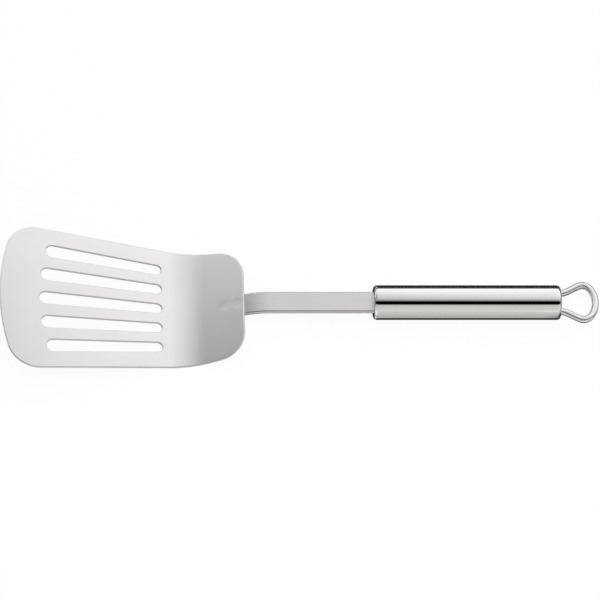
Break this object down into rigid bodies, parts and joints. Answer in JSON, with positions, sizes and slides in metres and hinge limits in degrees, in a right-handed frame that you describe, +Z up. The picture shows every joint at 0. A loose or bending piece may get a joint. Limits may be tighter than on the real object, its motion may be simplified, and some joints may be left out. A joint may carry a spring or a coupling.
{
  "type": "slotted turner",
  "caption": "Stainless slotted turner: a bent sheet blade with fanned drain slots, a flat bar shank, a hollow round handle and a wire hanging loop, for turning food in a pan.",
  "frame": {"origin": "on the surface the turner lies on, below the middle of its length and width", "axes": "+X along the handle from the blade's tip to the hanging loop, +Z up from the surface it lies on"},
  "size_m": [0.3202, 0.0854, 0.0197],
  "materials": {
    "satin_blade": "fine satin",
    "satin_shank": "fine satin",
    "polished_handle": "mirror polished",
    "polished_wire": "polished",
    "weld": "as welded"
  },
  "bodies": {
    "root": {"blade": "satin_blade", "shank": "satin_shank", "handle_tube": "polished_handle", "front_plug": "polished_handle", "rear_plug": "polished_handle", "hanging_loop": "polished_wire", "spot_weld_1": "weld", "spot_weld_2": "weld", "tang_weld_upper": "weld", "tang_weld_lower": "weld", "loop_weld_far": "weld", "loop_weld_near": "weld"}
  },
  "joints": []
}
